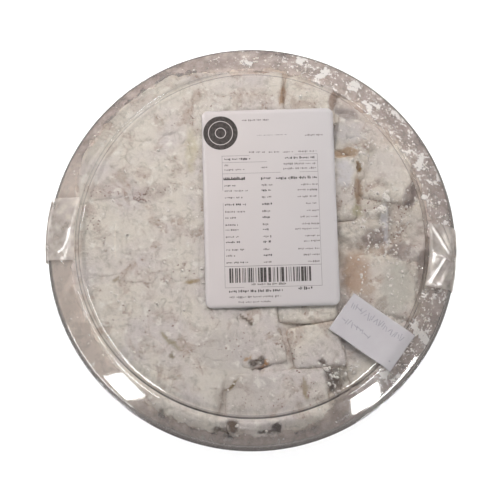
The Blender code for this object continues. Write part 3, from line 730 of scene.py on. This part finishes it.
dice = random.Random(31)
spots = []
while len(spots) < 1500:
    radius, around = 87.0 * math.sqrt(dice.random()), dice.uniform(-math.pi, math.pi)
    x, y = radius * math.cos(around), radius * math.sin(around)
    if dice.random() < stuck_share(x, y) and not 74.8 < radius < 77.4:
        place, up = stuck_place(x, y, 0.26)
        size = 0.13 + 0.70 * dice.random() ** 4.0
        spots.append((place, (size, size * dice.uniform(0.5, 1.0), 0.07), up, len(spots)))
for cx, cy, spread, count in ((58.5, 20.0, 1.8, 20), (57.0, 14.0, 1.4, 20)):
    for _ in range(count):
        x, y = dice.gauss(cx, spread * 0.45), dice.gauss(cy, spread * 0.45)
        if math.hypot(x, y) < 86.0:
            place, up = stuck_place(x, y, 0.24)
            size = 0.40 + 1.30 * dice.random() ** 1.3
            spots.append((place, (size, size * dice.uniform(0.5, 0.95), 0.07), up, len(spots)))
scatter("powder_flakes", spots, sugar, 0.3)


# --- Label ------------------------
# A rectangle of smooth white thermal paper with rounded corners, stuck flat on the panel, and
# its print: a round badge, rows of dashes in a ruled box, and a block of bars.
LABEL_PLACE = Matrix.Translation((7.9, 15.2, 43.91)) @ Matrix.Rotation(math.radians(1.6), 4, "Z")


def ripple_paper(bm, height):
    """Lets the paper's faint waves lift a flat mesh that was made in the label's own plane."""
    for vert in bm.verts:
        wave = noise.noise(Vector((vert.co.x, vert.co.y, 0.0)) / 17.0)
        vert.co.z += height + 0.05 * wave
    bmesh.ops.transform(bm, matrix=LABEL_PLACE, verts=bm.verts)


LABEL_WIDE, LABEL_TALL, CORNER, CUTS = 58.0, 88.0, 3.0, 7
PAPER = 0.10
bm = bmesh.new()
bmesh.ops.create_grid(bm, x_segments=29, y_segments=44, size=0.5)
bmesh.ops.scale(bm, vec=(LABEL_WIDE, LABEL_TALL, 1.0), verts=bm.verts)
for side_x in (-1, 1):
    for side_y in (-1, 1):
        centre = Vector((side_x * (LABEL_WIDE / 2 - CORNER), side_y * (LABEL_TALL / 2 - CORNER),
                         0.0))
        for step in range(CUTS):
            angle = math.radians(90.0 * (step + 0.5) / CUTS)
            out = Vector((side_x * math.cos(angle), side_y * math.sin(angle), 0.0))
            bmesh.ops.bisect_plane(bm, geom=bm.verts[:] + bm.edges[:] + bm.faces[:], dist=0.0001,
                                   plane_co=centre + out * CORNER, plane_no=out,
                                   clear_outer=True)
ripple_paper(bm, 0.0)
paper = matt("white thermal paper", ("#C6BDBB", "#CDC4C2"), 16.0, detail=4.0,
             tooth=(0.6, 0.15, 0.0001))
tree = paper.node_tree
body = tree.nodes["Principled BSDF"]
warm = body.inputs["Base Color"].links[0].from_node
place = put(tree, "TexCoord").outputs["Object"]
# Towards its right side the paper is painted a darker, cooler grey: painted shade.
right = put(tree, "SeparateXYZ", {"Vector": place}).outputs["X"]
side = put(tree, "MapRange", {"Value": right, "From Min": -0.01, "From Max": 0.036})
paper_shaded_right = put(tree, "Mix", {0: side, 6: warm, 7: linear("#C2BCBC")}, data_type="RGBA")
put(tree, body, {"Base Color": paper_shaded_right})
label = finish_piece("label_sheet", bm, [paper], ["label"])
thicken(label, PAPER, 1.0)

INK, FAINT = 0, 1
bm = bmesh.new()


def printed(name, colours):
    """Thermal print: the paper's own coat turned dark by heat, a little uneven."""
    return matt(name, colours, 1.1, span=(0.4, 0.7), roughness=0.45)


def mark(u, v, wide, tall, ink):
    """One printed bar, from its middle in the label's own millimetres."""
    place = Matrix.Translation((u, v, 0.0)) @ Matrix.Diagonal((wide, tall, 1.0, 1.0))
    known = len(bm.faces)
    bmesh.ops.create_grid(bm, x_segments=1, y_segments=1, size=0.5, matrix=place)
    bm.faces.ensure_lookup_table()
    for face in bm.faces[known:]:
        face.material_index = ink


def dashes(start, end, v, tall, ink, density=0.62):
    """A row of small uneven strokes in groups, as wide and dark as a line of small type."""
    u = start
    group = dice.randint(3, 7)
    while u < end:
        wide = dice.uniform(0.22, 0.62)
        mark(min(u + wide / 2, end), v + dice.uniform(-0.12, 0.12) * tall, wide,
             tall * dice.uniform(0.35, 1.0), ink)
        u += wide + dice.uniform(0.12, 0.30) / density * 0.62
        group -= 1
        if group == 0:
            u += 0.55
            group = dice.randint(3, 7)


RULES = [(0.4, 23.4, 42.0, 0.14), (0.6, -35.2, 42.0, 0.16), (-20.4, -5.9, 0.14, 58.6),
         (21.5, -5.9, 0.14, 58.6), (0.5, 20.4, 41.8, 0.14), (0.5, 15.4, 41.8, 0.14),
         (0.6, -25.9, 42.0, 0.20)]  # x, y, width, height
HEADING = [(-11.2, 1.2, 39.4, 0.9, FAINT), (-4.7, 8.0, 32.4, 0.35, FAINT),
           (16.4, 24.3, 31.9, 1.0, FAINT), (-8.5, -1.5, 24.8, 0.8, FAINT),
           (0.2, 5.4, 24.7, 0.8, FAINT), (6.4, 10.6, 24.5, 0.7, FAINT),
           (13.2, 21.0, 24.6, 0.9, FAINT), (-19.4, -8.1, 21.9, 1.0, INK),
           (7.2, 20.3, 21.8, 1.1, INK), (-19.4, -17.2, 19.2, 0.9, FAINT),
           (6.6, 20.4, 19.1, 0.9, FAINT), (-19.5, -10.6, 17.1, 0.8, FAINT),
           (-3.4, -0.6, 17.8, 0.8, FAINT), (6.4, 20.6, 17.0, 0.9, FAINT),
           (-20.0, -10.8, 13.1, 1.5, INK), (-3.6, 0.5, 12.9, 1.5, INK),
           (3.0, 21.0, 12.8, 1.4, INK)]  # start, end, y, height, ink
dice = random.Random(8)
for rule in RULES:
    mark(*rule, FAINT)
for line in HEADING:
    dashes(*line)
for v in (12.9, 12.7):
    mark(-15.4, v, 9.2, 0.35, INK)
for row, v in enumerate((10.0, 7.6, 4.6, 1.5, -1.7, -4.4, -7.6, -9.8, -12.9, -15.2, -18.6, -21.2,
                         -24.2)):
    dashes(-19.6, -19.6 + dice.uniform(4.0, 10.5), v, 0.85, FAINT if row % 3 else INK)
    dashes(-3.4, -3.4 + dice.uniform(2.2, 4.6), v - 0.1, 1.0, INK if row % 2 else FAINT)
    dashes(21.0 - dice.uniform(4.0, 11.0), 21.0, v - 0.3, 0.85, FAINT)
u = -18.5
while u < 17.0:
    wide = dice.choice((0.25, 0.30, 0.45, 0.60, 0.85, 1.2))
    mark(u + wide / 2, -29.9, wide, 6.4, INK)
    u += wide + dice.choice((0.22, 0.28, 0.35, 0.55, 0.8))
dashes(-9.0, 6.4, -34.0, 1.05, FAINT, 0.8)
dashes(-18.8, 4.3, -36.9, 1.25, INK)
dashes(-18.6, 3.8, -39.4, 1.0, FAINT)
dashes(-14.8, -0.8, -41.6, 0.9, FAINT)
dashes(11.2, 16.9, -36.2, 1.5, INK)

# The badge is a dark disc with two thin rings left white.
for inner, outer in ((0.0, 2.1), (2.45, 5.15), (5.5, 7.6)):
    if inner:
        ring = bmesh.ops.create_circle(bm, cap_ends=False, segments=72, radius=inner)["verts"]
        hoop = [edge for edge in bm.edges if edge.verts[0] in ring and edge.verts[1] in ring]
        wide = bmesh.ops.extrude_edge_only(bm, edges=hoop)["geom"]
        moved = [item for item in wide if isinstance(item, bmesh.types.BMVert)]
        bmesh.ops.scale(bm, vec=(outer / inner, outer / inner, 1.0), verts=moved)
        shift = ring + moved
    else:
        shift = bmesh.ops.create_circle(bm, cap_ends=True, segments=72, radius=outer)["verts"]
    bmesh.ops.translate(bm, vec=(-20.8, 33.9, 0.0), verts=shift)
bmesh.ops.recalc_face_normals(bm, faces=bm.faces)
for face in bm.faces:
    if face.normal.z < 0:
        face.normal_flip()
ripple_paper(bm, 0.13)
finish_piece("label_print", bm, [printed("thermal print, dark", ("#3A3533", "#57504D")),
                                 printed("thermal print, thin", ("#6E6664", "#8F8684"))])


# --- Price sticker ----------------
# A small rectangle of matt uncoated paper from a price gun, stuck askew over the ring so that it
# spans the groove and bends down the shoulder. Its dashes are faint.
OVER_LID = [(0.0, 43.8), (68.6, 43.85), (76.2, 45.0), (78.2, 44.95), (83.2, 42.6),
            (87.5, 39.5), (88.9, 37.0)]


def lay_over_lid(bm, height):
    """Turns a flat mesh askew and lays it over the lid, with soft bends."""
    place = Matrix.Translation((51.5, -39.8, 0.0)) @ Matrix.Rotation(math.radians(-35.5), 4, "Z")
    bmesh.ops.transform(bm, matrix=place, verts=bm.verts)
    for vert in bm.verts:
        radius = math.hypot(vert.co.x, vert.co.y)
        near = [height_on(OVER_LID, radius + step) for step in (-1.2, -0.6, 0.0, 0.6, 1.2)]
        vert.co.z = sum(near) / len(near) + height + 0.06 * noise.noise(vert.co / 9.0)


note = matt("matt uncoated paper", ("#B9B2B6", "#C6C2C3"), 7.0, detail=5.0, roughness=0.8,
            tooth=(0.5, 0.3, 0.0001))
bm = bmesh.new()
bmesh.ops.create_grid(bm, x_segments=64, y_segments=38, size=0.5)
bmesh.ops.scale(bm, vec=(32.0, 19.0, 1.0), verts=bm.verts)
lay_over_lid(bm, 0.18)
sticker = finish_piece("price_sticker", bm, [note], ["sticker"])
thicken(sticker, PAPER, -1.0)

# Two rows of faint slanted strokes that spell nothing, and a dot.
bm = bmesh.new()
dice = random.Random(12)
for u, end, v, tall in ((-13.5, 12.5, 5.0, 3.6), (-13.0, 1.0, -2.2, 2.8)):
    while u < end:
        turn = math.radians(dice.choice((-24.0, -14.0, -4.0, 10.0, 22.0, 80.0)))
        place = Matrix.Translation((u, v + tall * dice.uniform(-0.15, 0.15), 0.0))
        size = Matrix.Diagonal((0.42, tall * dice.uniform(0.4, 1.0), 1.0, 1.0))
        bmesh.ops.create_grid(bm, x_segments=1, y_segments=4, size=0.5,
                              matrix=place @ Matrix.Rotation(turn, 4, "Z") @ size)
        u += dice.uniform(0.7, 1.6)
mark(13.2, -6.0, 0.8, 0.6, INK)
bmesh.ops.subdivide_edges(bm, edges=bm.edges, cuts=1, use_grid_fill=True)
lay_over_lid(bm, 0.21)
finish_piece("sticker_print", bm, [printed("price gun ink, faded", ("#9C979D", "#B0ABB0"))])


# --- Tape -------------------------
# Two strips of clear polypropylene tape that hold the lid down. The left one lies smooth and
# stands off the rim, and the right one is crinkled and pulled tight.
def tape_film(name, haze):
    """Thin clear film: it lets light through, mirrors at a slant and is a little milky."""
    material, tree, place = new_material(name)
    tree.nodes.remove(tree.nodes["Principled BSDF"])
    stretch = put(tree, "TexNoise", {"Vector": place, "Scale": 1000 / 5.0, "Detail": 3.0})
    bump = put(tree, "Bump", {"Height": stretch, "Strength": 0.2, "Distance": 0.0001})
    clear = put(tree, "BsdfTransparent", {"Color": linear("#FDFBF9")})
    shine = put(tree, "BsdfGlossy", {"Color": linear("#FFFFFF"), "Roughness": 0.05,
                                     "Normal": bump})
    milk = put(tree, "BsdfDiffuse", {"Color": linear("#F1E5DC")})
    cloudy = put(tree, "MapRange", {"Value": stretch, "From Min": 0.35, "From Max": 0.7,
                                    "To Min": haze * 0.7, "To Max": haze * 1.4})
    film = put(tree, "MixShader", {0: cloudy, 1: clear, 2: milk})
    edge = put(tree, "Fresnel", {"IOR": 1.45, "Normal": bump})
    mirror = put(tree, "MixShader", {0: edge, 1: film, 2: shine})
    put(tree, tree.nodes["Material Output"], {"Surface": mirror})
    return material


RIM = 90.0
TAPE_SWEEP = 17.8  # degrees round the rim, which make 28 mm


def tape_strip(corners, middle, creases):
    """A strip of even width over the rim, with sharp creases between pairs of points that are
    given as millimetres across the strip and from the tub's axis."""
    bm = turned(corners, 70, middle - TAPE_SWEEP / 2, TAPE_SWEEP)
    for _ in range(4):
        bmesh.ops.subdivide_edges(bm, edges=[e for e in bm.edges if e.calc_length() > 0.6],
                                  cuts=1, use_grid_fill=True)
    bm.normal_update()
    for vert in bm.verts:
        radius = math.hypot(vert.co.x, vert.co.y)
        around = (math.degrees(math.atan2(vert.co.y, vert.co.x)) - middle + 180.0) % 360.0 - 180.0
        across = radius * math.sin(math.radians(around * RIM / radius))
        lift = 0.10 * noise.noise(vert.co / 6.0)
        for (a0, r0), (a1, r1) in creases:
            along = Vector((a1 - a0, r1 - r0))
            share = Vector((across - a0, radius - r0)).dot(along) / along.length_squared
            near = Vector((a0, r0)) + along * max(0.0, min(1.0, share))
            away = (Vector((across, radius)) - near).length
            lift += 0.45 * math.exp(-(away / 0.7) ** 2)
        vert.co += vert.normal * lift * smooth(24.0, 31.0, vert.co.z)
        vert.co.rotate(Quaternion((0, 0, 1), math.radians(around * (RIM / radius - 1.0))))
    return bm


UNDER_RIM = [(83.95, 24.5, 0.8), (82.35, 15.0, 0)]  # where both strips end, on the tub's wall
SMOOTH_TAPE = [(77.2, 45.15, 0), (78.2, 45.15, 0.8), (83.4, 43.0, 4.0), (88.6, 39.6, 2.0),
               (90.7, 36.5, 1.8), (91.3, 33.0, 0.6), (91.0, 30.6, 0.4), *UNDER_RIM]
TIGHT_TAPE = [(77.2, 45.15, 0), (78.1, 45.15, 0.8), (83.3, 42.75, 4.0), (89.1, 38.4, 1.6),
              (89.6, 34.9, 0.4), (90.3, 34.7, 0.4), (90.4, 30.6, 0.4), *UNDER_RIM]
CREASES = [((13.7, 78.0), (2.4, 86.1)), ((14.3, 82.7), (4.0, 86.7)),
           ((-1.0, 84.5), (-13.3, 78.7)), ((-2.1, 87.8), (-12.4, 83.8)),
           ((-13.0, 78.0), (-12.4, 86.0)), ((1.0, 79.0), (-1.2, 86.5)),
           ((-12.0, 80.0), (-14.0, 82.0)), ((-12.0, 83.0), (-14.0, 85.0))]
finish_piece("tape_left_strip", tape_strip(SMOOTH_TAPE, 176.0, []),
             [tape_film("clear tape, smooth", 0.42)], ["tape_left"])
crinkled = finish_piece("tape_right_strip", tape_strip(TIGHT_TAPE, -4.5, CREASES),
                        [tape_film("clear tape, crinkled", 0.45)], ["tape_right"])

# Two lamps that only glint on the creases of the right tape.
crinkled_only = bpy.data.collections.new("lit by the glints")
crinkled_only.objects.link(crinkled)
for name, azimuth, elevation in (("glint_1", 48.0, 42.0), ("glint_2", 322.0, 50.0)):
    glint = hang_light(name, azimuth, elevation, MIRRORED_AT, (0.55, 0.55), 26.0, True)
    glint.light_linking.receiver_collection = crinkled_only
